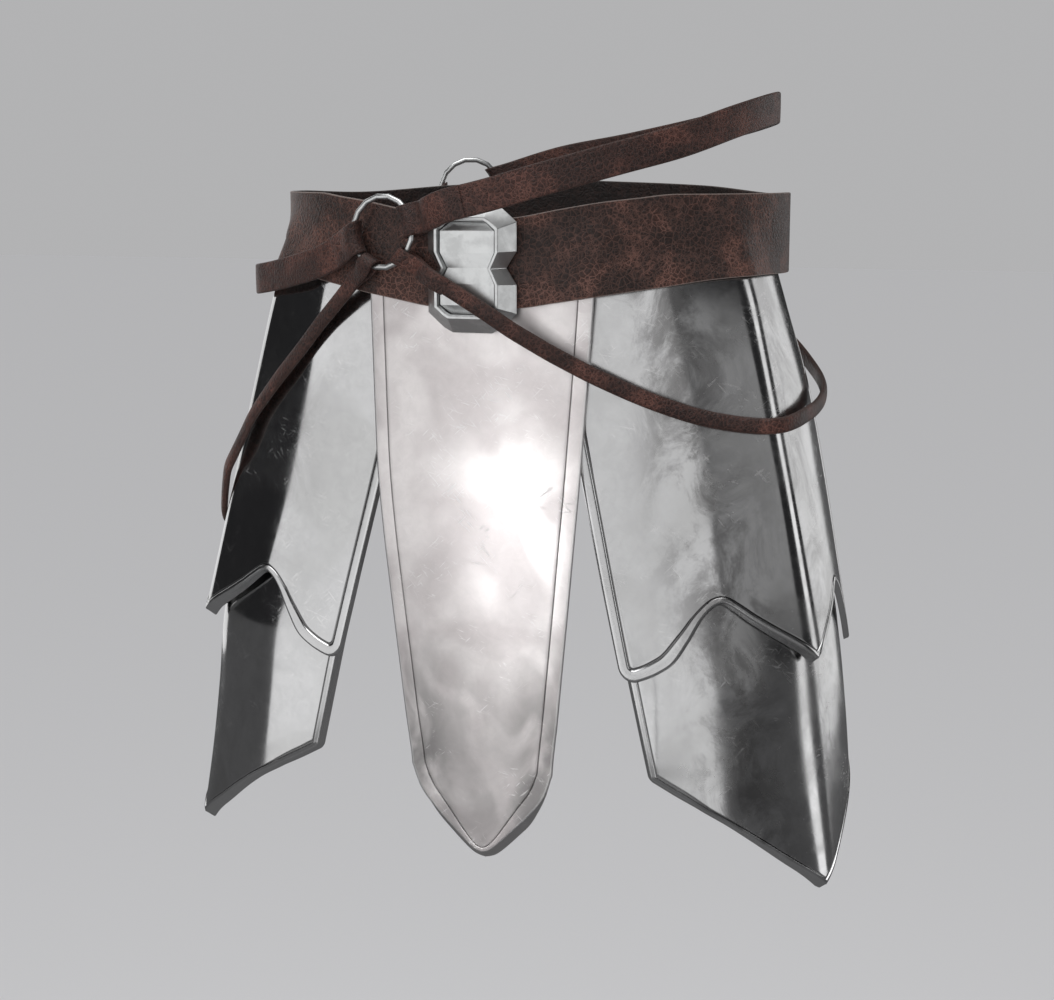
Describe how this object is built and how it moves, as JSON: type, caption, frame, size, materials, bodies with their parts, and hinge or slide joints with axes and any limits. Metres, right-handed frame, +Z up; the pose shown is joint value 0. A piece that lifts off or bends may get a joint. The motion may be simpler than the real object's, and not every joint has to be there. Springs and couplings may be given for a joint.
{
  "type": "waist armour",
  "caption": "Waist armour: a leather belt with a figure-of-eight buckle, rings and crossing straps, a long pointed front plate and ridged two-part hip plates.",
  "frame": {"origin": "on the axis of the waist, 6 mm above the middle of the belt's height at the sides", "axes": "+Z up along the waist's axis, -Y towards the front where the buckle is, +X to the viewer's right when facing the buckle"},
  "size_m": [0.4856, 0.3056, 0.5405],
  "materials": {
    "steel_plate": "polished, cloudy, finely scratched",
    "bright_metal": "bright satin",
    "belt_leather": "cracked, dark brown with red in the cracks",
    "strap_leather": "cracked, dark brown with red in the cracks"
  },
  "bodies": {
    "root": {"front_plate": "steel_plate", "right_upper_tasset": "steel_plate", "left_upper_tasset": "steel_plate", "right_lower_tasset": "steel_plate", "left_lower_tasset": "steel_plate", "buckle_frame": "bright_metal", "buckle_panel": "bright_metal", "front_ring": "bright_metal", "back_ring": "bright_metal", "belt": "belt_leather", "waist_strap_right": "strap_leather", "waist_strap_left": "strap_leather", "thigh_strap_right": "strap_leather", "thigh_strap_left": "strap_leather"}
  },
  "joints": []
}
